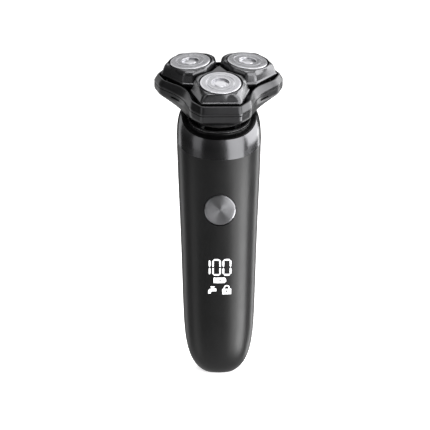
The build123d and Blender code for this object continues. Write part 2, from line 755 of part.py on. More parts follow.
def make_sun_gear():
    """Pinion on a tube whose lower end is the six-sided drive socket."""
    gear = Pos(0, 0, GEAR_LOW) * extrude(gear_face(SUN_TEETH), GEAR_HIGH - GEAR_LOW)
    gear += rod(3.6, -1.9, GEAR_LOW + 0.1) + rod(1.5, GEAR_HIGH - 0.1, COVER_HIGH - 0.5)
    socket = Pos(0, 0, -3) * extrude(RegularPolygon(2.35, 6, major_radius=False), 6.2)
    return HEAD * (gear - socket)


def make_drive_gear():
    gear = Pos(0, 0, GEAR_LOW) * extrude(gear_face(DRIVE_TEETH), GEAR_HIGH - GEAR_LOW)
    for angle in range(0, 360, 60):
        gear -= Rot(0, 0, angle + 30) * rod(1.7, 0, 20, 5.6)
    gear -= rod(SPINDLE_RADIUS, 0, 20)
    return Pos(GEAR_CENTRES, 0, 0) * gear


def make_spindle():
    """Steel spindle whose six-sided tip turns the blades."""
    spindle = rod(SPINDLE_RADIUS, DECK_LOW + 0.5, 17.0) + rod(2.1, 16.0, 16.5)
    tip = Pos(0, 0, 16.9) * extrude(RegularPolygon(1.3, 6, major_radius=False), 3.3)
    return Pos(GEAR_CENTRES, 0, 0) * (spindle + tip)


def make_spindle_spring():
    """Light coil between the bearing and the spindle's collar."""
    path = Helix(pitch=0.75, height=2.6, radius=2.05)
    start = path @ 0
    section = Plane(origin=start, z_dir=path % 0) * Circle(0.18)
    coil = sweep(section, path, is_frenet=True)
    return Pos(GEAR_CENTRES, 0, 13.15) * coil


# ---- blade frame, pods and cutters -----------------------------------------------------------
def make_blade_frame():
    """Upper head shell that pulls off, with a deck and the pods' hinge ears."""
    wall = extrude(lobed_face(OUTLINE_WIDE, SEAM_HIGH), BEVEL_LOW - SEAM_HIGH)
    bevel = loft([lobed_face(OUTLINE_WIDE, BEVEL_LOW),
                  lobed_face(OUTLINE_TOP, FRAME_TOP)], ruled=True)
    opening = lobed_face(OUTLINE_TOP, 14.0, 0.75)
    room = loft([lobed_face(OUTLINE_WIDE, SEAM_HIGH - 0.1, HEAD_WALL),
                 lobed_face(OUTLINE_WIDE, BEVEL_LOW, HEAD_WALL)], ruled=True)
    frame = wall + bevel - room - extrude(opening, 8)
    deck = extrude(lobed_face(OUTLINE_WIDE, 13.5, HEAD_WALL - 0.3), 1.0)
    deck -= thirds(rod(9.4, 10, 20, GEAR_CENTRES))
    deck -= valleys(rod(2.0, 13.4, 14.0, 15.0))
    frame += deck
    for side in (-1, 1):
        frame += thirds(pod_ear(side))
    return HEAD * frame


def pod_ear(side):
    v = side * 9.05
    ear = block(POD_AXIS_U - 1.0, POD_AXIS_U + 1.0, v - 0.55, v + 0.55,
                14.4, POD_AXIS_W + 1.1)
    return ear - rod_y(0.8 + RUNNING_FIT, v - 3, v + 3, POD_AXIS_U, POD_AXIS_W)


def make_frame_hub():
    """Small three-cornered cap between the pods."""
    triangle = make_face(Polyline(*[
        (6.8 * math.cos(math.radians(a)), 6.8 * math.sin(math.radians(a)))
        for a in (90, 210, 330)], close=True))
    triangle = fillet(triangle.vertices(), 1.2)
    hub = Pos(0, 0, 14.5) * extrude(triangle, HUB_TOP - 14.5)
    return HEAD * chamfer(hub.edges().group_by(Axis.Z)[-1], 0.4)


def pod_face(front, half, side_u, side_v, inner_u, inner_v, tail_u, tail_v, corner):
    """Eight-cornered outline of a pod in its lobe's frame."""
    points = [(front, -half), (front, half), (side_u, side_v), (inner_u, inner_v),
              (tail_u, tail_v), (tail_u, -tail_v), (inner_u, -inner_v), (side_u, -side_v)]
    face = make_face(Polyline(*points, close=True))
    return fillet(face.vertices(), corner)


def tilted_to_cutter(face, depth):
    """Lays a face, drawn in the lobe's frame, on a plane square to the cutter's axis."""
    return CUTTER * Pos(-CUTTER_PITCH, 0, -depth) * face


def make_pod():
    """Tilting holder for one cutter."""
    base = (29.6, 10.0, 13.6, 15.0, 8.3, 12.9, 4.2, 5.4)
    foot = (28.9, 10.0, 13.6, 14.4, 8.6, 12.4, 4.7, 5.2)
    shoulder = (28.4, 9.0, 13.6, 13.5, 8.9, 11.8, 5.0, 5.1)
    rim = (27.9, 7.7, 13.6, 12.3, 9.5, 10.6, 5.5, 4.6)
    skirt_low, skirt_high = 16.9, 18.9
    skirt = Pos(0, 0, skirt_low) * extrude(pod_face(*base, 1.6), skirt_high - skirt_low)
    crown = loft([Pos(0, 0, skirt_high) * pod_face(*foot, 1.6),
                  tilted_to_cutter(pod_face(*shoulder, 1.6), 1.8),
                  tilted_to_cutter(pod_face(*rim, 1.6), 0.2)], ruled=True)
    pod = skirt + crown
    pod -= CUTTER * rod(POD_OPENING, -20, 5)
    pod -= CUTTER * rod(POD_POCKET, -20, -2.7)
    front_room = pod_face(28.2, 8.9, 13.6, 13.4, 9.3, 11.7, 5.6, 4.9, 1.2)
    pod -= Pos(0, 0, 10) * extrude(front_room, 8.9) - CUTTER * rod(14.5, -20, 5)
    pod -= block(POD_AXIS_U - 1.8, POD_AXIS_U + 1.4, -9.95, 9.95, 10, POD_AXIS_W + 1.6)
    for side in (-1, 1):
        pin_start, pin_end = sorted((side * 10.4, side * 8.3))
        pod += rod_y(0.8, pin_start, pin_end, POD_AXIS_U, POD_AXIS_W)
    return pod


def make_pod_ring():
    """Clip ring that keeps the cap and blade in the pod."""
    ring = tube(POD_POCKET - 0.02, 9.3, -5.8, -5.0)
    return CUTTER * ring


def make_cutter_cap():
    """Outer cutter: two slotted tracks, a groove between them and a domed centre."""
    cap = rod(CAP_RADIUS, -3.0, 0) + rod(CAP_FLANGE, -3.6, -3.0)
    cap -= rod(9.9, -5, -0.55)
    cap -= tube(7.15, 6.85, -0.3, 1)
    cap -= tube(4.4, 3.1, -0.3, 1)
    cap = cap + rod(3.1, -1.4, -0.5)
    slot_low = -1.0
    for step in range(40):
        cap -= Rot(0, 0, step * 9.0) * block(7.5, 9.6, -0.2, 0.2, slot_low, 1)
    for step in range(24):
        cap -= Rot(0, 0, step * 15.0) * block(4.7, 6.6, -0.2, 0.2, slot_low, 1)
    return CUTTER * cap


def make_blade():
    """Inner cutter: steel ring with upright teeth on two tracks."""
    blade = tube(9.5, 4.3, -2.5, -2.0)
    teeth = block(7.5, 9.3, -0.35, 0.35, -2.1, -0.7)
    inner_teeth = block(4.7, 6.5, -0.35, 0.35, -2.1, -0.7)
    for step in range(9):
        blade += Rot(0, 0, step * 40.0) * (teeth + inner_teeth)
    return CUTTER * blade


def make_blade_carrier():
    """Plastic carrier under the blade, with the socket for the spindle's tip."""
    carrier = rod(7.6, -3.4, -2.5) + rod(4.2, -2.6, -1.9) + rod(3.5, -6.0, -3.3)
    socket = Pos(0, 0, -9) * extrude(RegularPolygon(1.95, 6, major_radius=False), 6.75)
    return CUTTER * (carrier - socket)


def build_parts():
    outer = handle_solid()
    cavity = handle_solid(WALL)
    parts = {
        "front_shell": make_front_shell(outer, cavity),
        "rear_shell": make_rear_shell(outer, cavity),
        "display_icons": make_inlays(),
        "collar_ring": make_collar(),
        "neck_base": make_neck_base(),
        "neck_screws": make_neck_screws(),
        "neck_seal": make_neck_seal(),
        "chassis": make_chassis(handle_and_neck_room()),
        "chassis_screws": make_chassis_screws(),
        "battery_cell": make_battery(),
        "battery_tabs": make_battery_tabs(),
        "main_board": make_board(),
        "display_module": make_display_module(),
        "tact_switch": make_switch(),
        "power_button": make_button(),
        "button_gasket": make_button_gasket(),
        "charge_socket": make_charge_socket(),
        "socket_gasket": make_socket_gasket(),
        "motor_can": make_motor_can(),
        "motor_magnets": make_motor_magnets(),
        "motor_cap": make_motor_cap(),
        "motor_screws": make_motor_screws(),
        "rotor": make_rotor(),
        "drive_ball": make_drive_ball(),
        "shaft_seal": make_shaft_seal(),
        "gimbal_ring": make_gimbal(),
        "head_housing": make_head_housing(),
        "gear_deck": make_gear_deck(),
        "gear_cover": make_gear_cover(),
        "cover_screws": make_cover_screws(),
        "latch_magnets": make_magnets(),
        "neck_boot": make_neck_boot(),
        "sun_gear": make_sun_gear(),
        "blade_frame": make_blade_frame(),
        "latch_plates": make_latch_plates(),
        "frame_hub": make_frame_hub(),
    }
    repeated = {
        "drive_gear": make_drive_gear(),
        "spindle": make_spindle(),
        "spindle_spring": make_spindle_spring(),
        "pod": make_pod(),
        "pod_ring": make_pod_ring(),
        "cutter_cap": make_cutter_cap(),
        "blade": make_blade(),
        "blade_carrier": make_blade_carrier(),
    }
    for number, angle in enumerate(LOBE_ANGLES, start=1):
        for name, shape in repeated.items():
            parts[f"{name}_{number}"] = HEAD * Rot(0, 0, angle) * shape
    return parts


def handle_and_neck_room():
    """Free room inside the shells and the collar, with a little clearance."""
    handle = handle_solid(WALL + 0.1)
    return handle + collar_room(0.9)


def main():
    os.makedirs("parts", exist_ok=True)
    for name, shape in build_parts().items():
        export_step(shape, f"parts/{name}.step")


main()
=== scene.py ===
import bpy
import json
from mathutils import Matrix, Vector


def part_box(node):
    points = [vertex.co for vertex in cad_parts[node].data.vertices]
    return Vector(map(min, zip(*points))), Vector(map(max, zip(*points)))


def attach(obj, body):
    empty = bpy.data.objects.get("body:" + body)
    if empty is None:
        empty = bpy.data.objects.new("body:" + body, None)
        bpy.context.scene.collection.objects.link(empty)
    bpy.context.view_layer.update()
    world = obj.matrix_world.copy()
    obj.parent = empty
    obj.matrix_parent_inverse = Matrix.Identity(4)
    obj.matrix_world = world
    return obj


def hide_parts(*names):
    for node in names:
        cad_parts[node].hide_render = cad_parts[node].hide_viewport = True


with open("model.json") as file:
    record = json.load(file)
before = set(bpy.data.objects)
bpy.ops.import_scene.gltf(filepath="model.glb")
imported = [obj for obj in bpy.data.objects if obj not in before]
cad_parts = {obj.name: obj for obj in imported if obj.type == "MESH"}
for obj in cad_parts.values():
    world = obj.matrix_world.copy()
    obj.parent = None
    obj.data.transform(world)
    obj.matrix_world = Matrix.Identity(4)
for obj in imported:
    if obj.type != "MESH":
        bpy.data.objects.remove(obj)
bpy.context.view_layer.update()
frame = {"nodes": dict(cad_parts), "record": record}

import json
import math

import bmesh
import bpy
from mathutils import Matrix, Vector

# Lengths are in millimetres up to the point where a mesh or a place is made.
MM = 0.001

# The head's frame: its origin is the flex centre and its Z axis is the head's own axis.
HEAD_ORIGIN = (0, 1.07, 137.7)
HEAD_LEAN = 18.0
LOBES = (270.0, 30.0, 150.0)        # directions of the three lobes (deg)
CUTTER_U, CUTTER_W, CUTTER_LEAN = 17.0, 24.5, 5.5


def turn(degrees, axis):
    return Matrix.Rotation(math.radians(degrees), 4, axis)


def shift(x, y, z):
    return Matrix.Translation(Vector((x, y, z)) * MM)


def on_circle(radius, angle):
    return radius * math.cos(angle), radius * math.sin(angle)


def angle_of(step, count):
    return 2 * math.pi * step / count


def direction(azimuth, elevation):
    """Unit vector; azimuth 0 is the camera's side, +X is 90 (degrees)."""
    a, e = math.radians(azimuth), math.radians(elevation)
    return Vector((math.sin(a) * math.cos(e), -math.cos(a) * math.cos(e), math.sin(e)))


def link_object(name, data):
    made = bpy.data.objects.new(name, data)
    bpy.context.scene.collection.objects.link(made)
    return made


def mesh_of(name, points, faces):
    """Mesh from points in millimetres."""
    mesh = bpy.data.meshes.new(name)
    mesh.from_pydata([Vector(point) * MM for point in points], [], faces)
    return mesh


HEAD = shift(*HEAD_ORIGIN) @ turn(HEAD_LEAN, "X")


def lobe(number):
    return HEAD @ turn(LOBES[number], "Z")


def cutter(number):
    return lobe(number) @ shift(CUTTER_U, 0, CUTTER_W) @ turn(CUTTER_LEAN, "Y")


def climbing(place):
    """The same place, turned about its own Z so that its X axis climbs most steeply."""
    across, along = place.col[0], place.col[1]
    return place @ Matrix.Rotation(math.atan2(along.z, across.z), 4, "Z")


# ---- materials -------------------------------------------------------------------------
MIX_A, MIX_B, MIX_RESULT = 6, 7, 2  # colour sockets of a Mix node


def new_material(name):
    material = bpy.data.materials.new(name)
    material.use_nodes = True
    tree = material.node_tree
    shader = tree.nodes["Principled BSDF"]
    return material, tree, shader


def add(tree, kind, **values):
    node = tree.nodes.new(kind)
    for key, value in values.items():
        if key in node.inputs.keys():
            node.inputs[key].default_value = value
        else:
            setattr(node, key, value)
    return node


def spread(tree, source, low, high, start=0.3, end=0.7):
    """A value between start and end, such as a noise's, mapped to low and high."""
    node = tree.nodes.new("ShaderNodeMapRange")
    node.inputs["From Min"].default_value = start
    node.inputs["From Max"].default_value = end
    node.inputs["To Min"].default_value = low
    node.inputs["To Max"].default_value = high
    tree.links.new(source, node.inputs["Value"])
    return node.outputs["Result"]


def blended(tree, dark, light, factor):
    """Colour output between two colours."""
    tone = add(tree, "ShaderNodeMix", data_type="RGBA")
    tone.inputs[MIX_A].default_value = (*dark, 1)
    tone.inputs[MIX_B].default_value = (*light, 1)
    tree.links.new(factor, tone.inputs["Factor"])
    return tone.outputs[MIX_RESULT]


def bumped(tree, shader, source, strength, height):
    """Gives the shader a bump of the given height from a value."""
    bump = add(tree, "ShaderNodeBump", Strength=strength, Distance=height)
    tree.links.new(source, bump.inputs["Height"])
    tree.links.new(bump.outputs["Normal"], shader.inputs["Normal"])


def surface(name, dark, light, rough, grain, height, metallic=0.0, specular=0.5,
            coat=0.0, coat_rough=0.1, mottle=90.0, stretch=(1, 1, 1), anisotropic=0.0):
    """Moulded, painted or ground finish: mottled colour, uneven gloss and a fine grain."""
    material, tree, shader = new_material(name)
    link = tree.links.new
    place = add(tree, "ShaderNodeTexCoord").outputs["Object"]
    scaled = add(tree, "ShaderNodeMapping", Scale=stretch)
    link(place, scaled.inputs["Vector"])
    broad = add(tree, "ShaderNodeTexNoise", Scale=mottle, Detail=4.0, Roughness=0.6)
    fine = add(tree, "ShaderNodeTexNoise", Scale=grain, Detail=3.0, Roughness=0.65)
    link(place, broad.inputs["Vector"])
    link(scaled.outputs["Vector"], fine.inputs["Vector"])
    mixed = add(tree, "ShaderNodeMath", operation="MULTIPLY_ADD")
    link(fine.outputs["Fac"], mixed.inputs[0])
    mixed.inputs[1].default_value = 0.5
    link(spread(tree, broad.outputs["Fac"], 0.0, 0.5), mixed.inputs[2])
    link(blended(tree, dark, light, mixed.outputs["Value"]), shader.inputs["Base Color"])
    link(spread(tree, mixed.outputs["Value"], *rough, 0.1, 0.9), shader.inputs["Roughness"])
    bumped(tree, shader, fine.outputs["Fac"], 0.6, height)
    shader.inputs["Metallic"].default_value = metallic
    shader.inputs["Specular IOR Level"].default_value = specular
    shader.inputs["Coat Weight"].default_value = coat
    shader.inputs["Coat Roughness"].default_value = coat_rough
    shader.inputs["Anisotropic"].default_value = anisotropic
    return material


def turned_metal(name, dark, light, rough, anisotropic, ring_scale, height):
    """Metal turned round the local Z axis: fine concentric tool marks."""
    material, tree, shader = new_material(name)
    link = tree.links.new
    place = add(tree, "ShaderNodeTexCoord").outputs["Object"]
    flat = add(tree, "ShaderNodeVectorMath", operation="MULTIPLY")
    flat.inputs[1].default_value = (1, 1, 0)
    link(place, flat.inputs[0])
    radius = add(tree, "ShaderNodeVectorMath", operation="LENGTH")
    link(flat.outputs["Vector"], radius.inputs[0])
    marks = add(tree, "ShaderNodeTexNoise", noise_dimensions="1D", Scale=ring_scale,
                Detail=2.0)
    link(radius.outputs["Value"], marks.inputs["W"])
    cloud = add(tree, "ShaderNodeTexNoise", Scale=420.0, Detail=3.0)
    link(place, cloud.inputs["Vector"])
    share = spread(tree, marks.outputs["Fac"], 0.0, 1.0)
    link(blended(tree, dark, light, share), shader.inputs["Base Color"])
    link(spread(tree, cloud.outputs["Fac"], *rough), shader.inputs["Roughness"])
    bumped(tree, shader, marks.outputs["Fac"], 0.5, height)
    shader.inputs["Metallic"].default_value = 1.0
    if anisotropic:
        around = add(tree, "ShaderNodeTangent", direction_type="RADIAL", axis="Z")
        link(around.outputs["Tangent"], shader.inputs["Tangent"])
        shader.inputs["Anisotropic"].default_value = anisotropic
        shader.inputs["Anisotropic Rotation"].default_value = 0.25
    return material


def lit_window(name):
    """White window lit from behind, a little brighter in the middle of its diffuser."""
    material, tree, shader = new_material(name)
    link = tree.links.new
    place = add(tree, "ShaderNodeTexCoord").outputs["Object"]
    noise = add(tree, "ShaderNodeTexNoise", Scale=900.0, Detail=2.0)
    link(place, noise.inputs["Vector"])
    link(spread(tree, noise.outputs["Fac"], 0.66, 0.8), shader.inputs["Emission Strength"])
    link(spread(tree, noise.outputs["Fac"], 0.25, 0.4), shader.inputs["Roughness"])
    shader.inputs["Base Color"].default_value = (0.8, 0.8, 0.8, 1)
    shader.inputs["Emission Color"].default_value = (0.96, 0.98, 1.0, 1)
    return material


def paint_highlight_above(material, place, low, high, highlight_tone):
    """Paints a highlight: turns the material to light metal above a plane, over the levels
    from low to high.
    """
    tree = material.node_tree
    shader = tree.nodes["Principled BSDF"]
    link = tree.links.new
    normal = place.to_3x3() @ Vector((0, 0, 1))
    height = add(tree, "ShaderNodeVectorMath", operation="DOT_PRODUCT")
    height.inputs[1].default_value = normal
    link(add(tree, "ShaderNodeTexCoord").outputs["Object"], height.inputs[0])
    offset = normal.dot(place.translation)
    highlight_mask = spread(tree, height.outputs["Value"], 0.0, 1.0, offset + low * MM,
                  offset + high * MM)
    link(highlight_mask, shader.inputs["Metallic"])
    # Painted highlight: where the mask is on, the surface takes the light metal tone.
    tone = add(tree, "ShaderNodeMix", data_type="RGBA")
    link(highlight_mask, tone.inputs["Factor"])
    link(shader.inputs["Base Color"].links[0].from_socket, tone.inputs[MIX_A])
    tone.inputs[MIX_B].default_value = (*highlight_tone, 1)
    link(tone.outputs[MIX_RESULT], shader.inputs["Base Color"])


def grey(value, blue=1.04):
    """Grey with a slight cast; blue below 1 makes it warm."""
    return (value, value, value * blue)


FINISHES = {
    "shell_black": surface("shell_black", grey(0.0025), grey(0.0045), (0.30, 0.37),
                           7000, 4e-6, specular=0.42),
    "grip_black": surface("grip_black", grey(0.004), grey(0.008), (0.34, 0.42),
                          5000, 8e-6, specular=0.42),
    "light_window": lit_window("light_window"),
    "gunmetal": surface("gunmetal", grey(0.11), grey(0.14), (0.17, 0.24), 3000, 1.5e-6,
                        metallic=1.0, stretch=(1, 1, 0.05)),
    "neck_black": surface("neck_black", grey(0.002), grey(0.004), (0.22, 0.3), 5000, 2e-6,
                          specular=0.3),
    "head_paint": surface("head_paint", grey(0.052), grey(0.070), (0.28, 0.35), 9000, 2e-6,
                          metallic=1.0, coat=0.15, coat_rough=0.12),
    "pod_paint": surface("pod_paint", grey(0.09), grey(0.115), (0.24, 0.31), 9000, 2e-6,
                         metallic=1.0, coat=0.15, coat_rough=0.12),
    "steel": turned_metal("steel", grey(0.42), grey(0.60), (0.26, 0.36), 0.5, 9000, 6e-6),
    "button_metal": turned_metal("button_metal", grey(0.26), grey(0.36), (0.28, 0.33),
                                 0.85, 14000, 1.5e-6),
    "inner_plastic": surface("inner_plastic", grey(0.012), grey(0.022), (0.45, 0.6),
                             3000, 1.2e-5),
    "gear_plastic": surface("gear_plastic", (0.68, 0.66, 0.60), (0.78, 0.76, 0.70),
                            (0.35, 0.5), 2500, 1e-5),
    "rubber_black": surface("rubber_black", grey(0.010), grey(0.018), (0.6, 0.75),
                            6000, 1.5e-5, specular=0.3),
    "screw_steel": surface("screw_steel", grey(0.40), grey(0.55), (0.25, 0.4), 4000, 5e-6,
                           metallic=1.0),
    "motor_steel": surface("motor_steel", grey(0.46), grey(0.60), (0.3, 0.42), 3500, 6e-6,
                           metallic=1.0, stretch=(1, 1, 0.1)),
    "magnet": surface("magnet", grey(0.20), grey(0.30), (0.35, 0.5), 3500, 8e-6,
                      metallic=0.8),
    "board_green": surface("board_green", (0.006, 0.06, 0.025), (0.01, 0.09, 0.035),
                           (0.3, 0.45), 2600, 6e-6),
    "cell_wrap": surface("cell_wrap", (0.02, 0.09, 0.26), (0.03, 0.12, 0.32), (0.3, 0.4),
                         1500, 8e-6),
    "nickel": surface("nickel", grey(0.50, 0.95), grey(0.62, 0.95), (0.25, 0.38), 4000,
                      5e-6, metallic=1.0),
}

# The raised rail round the neck gets a painted highlight: light grey metal above this plane
# stands in for the bright line along the rail.
RAIL_PLANE = shift(0, 0, 136) @ turn(28.6, "X")
RAIL_HIGHLIGHT_TONE = (0.7, 0.7, 0.71)
paint_highlight_above(FINISHES["neck_black"], RAIL_PLANE, 0.35, 0.5, RAIL_HIGHLIGHT_TONE)

SLOT_OF = {row["node"]: row["material_slot"] for row in frame["record"]["subparts"]}
for node_name, node_object in frame["nodes"].items():
    for slot in node_object.material_slots:
        slot.material = FINISHES[SLOT_OF[node_name]]


# ---- mesh tools ------------------------------------------------------------------------
def make_piece(name, points, faces, body, node, place=None, crease=38.0, baked=False):
    """Mesh piece that stands for a CAD node, smooth but for its sharp edges.

    A baked piece has its place in its mesh, so that its box lies in the CAD frame.
    """
    mesh = mesh_of(name, points, faces)
    if baked:
        mesh.transform(place)
        place = None
    work = bmesh.new()
    work.from_mesh(mesh)
    bmesh.ops.remove_doubles(work, verts=work.verts, dist=1e-8)
    bmesh.ops.dissolve_degenerate(work, edges=work.edges, dist=1e-9)
    bmesh.ops.recalc_face_normals(work, faces=work.faces)
    for face in work.faces:
        face.smooth = True
    for edge in work.edges:
        edge.smooth = edge.calc_face_angle(0.0) < math.radians(crease)
    work.to_mesh(mesh)
    work.free()
    piece = link_object(name, mesh)
    if place is not None:
        piece.matrix_world = place
    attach(piece, body)
    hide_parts(node)
    mesh.materials.append(FINISHES[SLOT_OF[node]])
    return piece


def join_rings(rings, closed=False):
    """Points and quads of a tube through rings that have the same number of points."""
    count = len(rings[0])
    points = [point for ring in rings for point in ring]
    faces = []
    last = len(rings) if closed else len(rings) - 1
    for i in range(last):
        a, b = i * count, ((i + 1) % len(rings)) * count
        for j in range(count):
            k = (j + 1) % count
            faces.append((a + j, a + k, b + k, b + j))
    return points, faces


def turned(profile, count):
    """Solid of revolution round Z from (radius, height) pairs that start and end on Z."""
    rings = [[(*on_circle(r, angle_of(j, count)), z) for j in range(count)]
             for r, z in profile[1:-1]]
    points, faces = join_rings(rings)
    first, last = len(points), len(points) + 1
    points += [(0, 0, profile[0][1]), (0, 0, profile[-1][1])]
    end = (len(rings) - 1) * count
    for j in range(count):
        k = (j + 1) % count
        faces.append((first, j, k))
        faces.append((last, end + k, end + j))
    return points, faces


SHARE = 0.48                # a corner takes at most this share of the side beside it
ARC_STEPS = 8


def arc(start, corner, end):
    """Points of a smooth turn from start to end, drawn towards a corner."""
    points = []
    for step in range(ARC_STEPS + 1):
        t = step / ARC_STEPS
        points.append(start * (1 - t) ** 2 + corner * 2 * t * (1 - t) + end * t ** 2)
    return points


def rounded(outline, radii, run=0.8):
    """Closed outline with rounded corners, as closely spaced points."""
    points = []
    total = len(outline)
    for i in range(total):
        radius, next_radius = radii[i], radii[(i + 1) % total]
        before, here, after = (Vector(outline[(i + d) % total]) for d in (-1, 0, 1))
        into, out = (before - here), (after - here)
        half = into.angle(out) / 2
        reach = min(radius / math.tan(half), SHARE * min(into.length, out.length))
        start, end = here + into.normalized() * reach, here + out.normalized() * reach
        points += arc(start, here, end)
        beyond = Vector(outline[(i + 2) % total]) - after
        next_half = (here - after).angle(beyond) / 2
        far_reach = min(next_radius / math.tan(next_half),
                        SHARE * min(out.length, beyond.length))
        gap = out.length - reach - far_reach
        steps = max(1, int(gap / run))
        for step in range(1, steps):
            points.append(end + out.normalized() * gap * step / steps)
    return points


def radii_about(points, centre, count):
    """Distance from the centre to a star-shaped outline, at evenly spaced angles."""
    polar = sorted((math.atan2(p.y - centre[1], p.x - centre[0]) % (2 * math.pi),
                    math.hypot(p.x - centre[0], p.y - centre[1])) for p in points)
    first, last = polar[0], polar[-1]
    polar = ([(last[0] - 2 * math.pi, last[1])] + polar
             + [(first[0] + 2 * math.pi, first[1])])
    result, i = [], 0
    for j in range(count):
        angle = angle_of(j, count)
        while polar[i + 1][0] < angle:
            i += 1
        (a0, r0), (a1, r1) = polar[i], polar[i + 1]
        share = (angle - a0) / max(a1 - a0, 1e-9)
        result.append(r0 + (r1 - r0) * share)
    return result


# ---- pods ------------------------------------------------------------------------------
# Outlines as (front, half front, side, half side, inner, half inner, tail, half tail).
POD_COUNT = 160             # points round an outline
POD_PATH_COUNT = 44         # points down the visible wall
POD_BASE = (29.6, 10.0, 13.6, 15.0, 8.3, 12.9, 4.2, 5.4)
POD_FOOT = (28.9, 10.0, 13.6, 14.4, 8.6, 12.4, 4.7, 5.2)
POD_SHOULDER = (28.4, 9.0, 13.6, 13.5, 8.9, 11.8, 5.0, 5.1)
POD_RIM = (27.9, 7.7, 13.6, 12.3, 9.5, 10.6, 5.5, 4.6)
POD_OPENING = 11.2
POD_POCKET = 11.9
POD_LOW_W, POD_EDGE_W = 16.9, 18.9      # levels of its underside and its lower edge
LEAN_SIN = math.sin(math.radians(CUTTER_LEAN))
LEAN_COS = math.cos(math.radians(CUTTER_LEAN))


def pod_outline(front, half, side_u, side_v, inner_u, inner_v, tail_u, tail_v):
    return [(front, -half), (front, half), (side_u, side_v), (inner_u, inner_v),
            (tail_u, tail_v), (tail_u, -tail_v), (inner_u, -inner_v), (side_u, -side_v)]


def pod_radii(outline, radius):
    corners = pod_outline(*outline)
    return radii_about(rounded(corners, [radius] * len(corners)), (CUTTER_U, 0), POD_COUNT)


def soften(path, reaches, fill=0):
    """Path with its corners rounded over the given reaches, and points on its straights."""
    points = [path[0]]
    for i in range(1, len(path) - 1):
        before, here, after = path[i - 1], path[i], path[i + 1]
        into, out = before - here, after - here
        reach = min(reaches[i - 1], SHARE * into.length, SHARE * out.length)
        start, end = here + into.normalized() * reach, here + out.normalized() * reach
        come_from = points[-1]
        for step in range(1, fill + 1):
            points.append(come_from + (start - come_from) * step / (fill + 1))
        points += arc(start, here, end)
    points.append(path[-1])
    return points


def resample(points, count):
    """Evenly spaced points along a path."""
    lengths = [0.0]
    for a, b in zip(points, points[1:]):
        lengths.append(lengths[-1] + (b - a).length)
    result, i = [], 0
    for step in range(count):
        goal = lengths[-1] * step / (count - 1)
        while i < len(points) - 2 and lengths[i + 1] < goal:
            i += 1
        span = max(lengths[i + 1] - lengths[i], 1e-9)
        share = min(1.0, (goal - lengths[i]) / span)
        result.append(points[i] + (points[i + 1] - points[i]) * share)
    return result


def clip_inwards(points, radius):
    """Path from the outside to where it first comes within the radius."""
    kept = [points[0]]
    for a, b in zip(points, points[1:]):
        if b.x < radius:
            share = (a.x - radius) / max(a.x - b.x, 1e-9)
            kept.append(a + (b - a) * share)
            return kept
        kept.append(b)
    kept.append(Vector((radius, kept[-1].y)))
    return kept


def swept(columns):
    """Closed shell through one column of (radius, height) points at each angle."""
    placed = []
    for j, column in enumerate(columns):
        angle = angle_of(j, len(columns))
        placed.append([(*on_circle(p.x, angle), p.y) for p in column])
    rings = [[column[i] for column in placed] for i in range(len(placed[0]))]
    return join_rings(rings, closed=True)


def make_pod(number):
    """Faceted pod cover with a rounded rim about its cap's opening."""
    base = pod_radii(POD_BASE, 2.0)
    foot = pod_radii(POD_FOOT, 2.2)
    shoulder = [max(r, POD_OPENING + 0.6) for r in pod_radii(POD_SHOULDER, 2.6)]
    rim = [max(r, POD_OPENING + 0.4) for r in pod_radii(POD_RIM, 2.8)]
    columns = []
    for j in range(POD_COUNT):
        tilt = base[j] * math.cos(angle_of(j, POD_COUNT)) * LEAN_SIN
        bottom = (POD_LOW_W - CUTTER_W) * LEAN_COS + tilt
        edge = (POD_EDGE_W - CUTTER_W) * LEAN_COS + tilt
        outside = [Vector((base[j], bottom)), Vector((base[j], edge - 0.35)),
                   Vector((foot[j], edge + 0.12)), Vector((shoulder[j], -1.8)),
                   Vector((rim[j], -0.38)), Vector((min(rim[j] - 0.4, 11.0), -0.1))]
        path = clip_inwards(soften(outside, (0.25, 0.25, 1.6, 0.7)), POD_OPENING + 0.16)
        path = resample(path, POD_PATH_COUNT)
        lip = path[-1]
        path += [Vector((POD_OPENING + 0.06, lip.y - 0.04)),
                 Vector((POD_OPENING, lip.y - 0.16)),
                 Vector((POD_OPENING, -2.7)),
                 Vector((max(POD_POCKET, shoulder[j] - 1.2), -2.8)),
                 Vector((max(POD_POCKET, foot[j] - 0.8), edge - 0.3)),
                 Vector((max(POD_POCKET, base[j] - 1.0), bottom))]
        columns.append(path)
    points, faces = swept(columns)
    make_piece(f"pod_cover_{number + 1}", points, faces, f"pod_body_{number + 1}",
               f"pod_{number + 1}", cutter(number), crease=50, baked=True)


# ---- head shells -----------------------------------------------------------------------
# Outlines as (flat distance, half flat, shoulder u, shoulder v, valley radius).
HEAD_COUNT = 360
OUTLINE_LOW = (18.2, 6.0, 15.6, 10.4, 18.6)
OUTLINE_WIDE = (32.8, 10.0, 26.6, 15.3, 22.3)
OUTLINE_TOP = (30.9, 9.9, 24.6, 14.9, 19.8)
CORNER_ROUND = (9.0, 3.0, 3.0, 9.0, 24.0)
HEAD_WALL = 1.7
RIM_WALL = 0.75             # wall at the top of the frame's bevel
BOOT_OPENING = 15.05
HOUSING_LOW, HOUSING_FLOOR, HOUSING_KNEE = 0.8, 2.3, 9.5
HOUSING_KNEE_INSIDE = 10.6
SEAM_LOW, SEAM_HIGH = 13.05, 13.35
BEVEL_LOW, FRAME_TOP = 14.5, 17.8
DECK_LOW = 13.5
HOLE_RADIUS, HOLE_REACH, HOLE_COUNT = 9.4, 16.5, 64
SLIT_LOBES = ((30.0, -1), (150.0, 1))   # lobe and the side that its slit is on
SLIT_HALF_WIDTH, SLIT_REACH = 0.45, 2.75
SLIT_PLACE = (22.5, 4.6, 11.0)
SLIT_LEAN = 12.0
LUG_U, LUG_W, LUG_MIDDLE = 26.7, 19.4, 9.05
LUG_OUTLINE = [(-1, -4.9), (1, -4.9), (1, 1.1), (-1, 1.1)]
LUG_ROUND = (0.1, 0.1, 0.9, 0.9)
LUG_HALF, LUG_BORE, LUG_COUNT = 0.55, 0.85, 48


